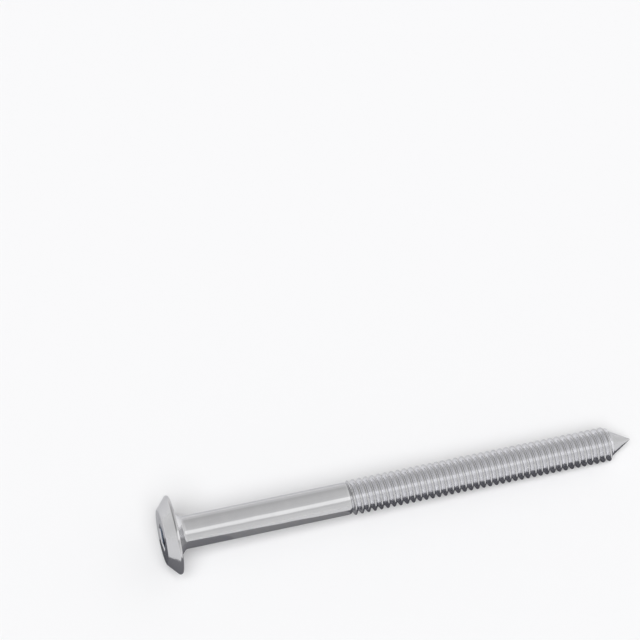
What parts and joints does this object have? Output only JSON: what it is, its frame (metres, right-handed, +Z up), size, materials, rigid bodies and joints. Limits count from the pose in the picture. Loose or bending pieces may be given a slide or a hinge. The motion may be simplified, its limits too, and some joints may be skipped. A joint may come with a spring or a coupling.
{
  "type": "furniture connector screw",
  "caption": "One-piece steel furniture connector screw: a low bevelled disc head with a hexagon socket, a locking collar, a plain shank and a long right-hand thread with a conical point.",
  "frame": {"origin": "on the floor, under the middle of the lying screw's box", "axes": "+X along the screw as it lies, from the head to the tip; +Y across it; +Z up from the floor"},
  "size_m": [0.0824, 0.0132, 0.0133],
  "materials": {
    "zinc_plated_steel": "bright zinc plate over a cold-headed, thread-rolled steel body"
  },
  "bodies": {
    "root": {"connector_screw": "zinc_plated_steel"}
  },
  "joints": []
}
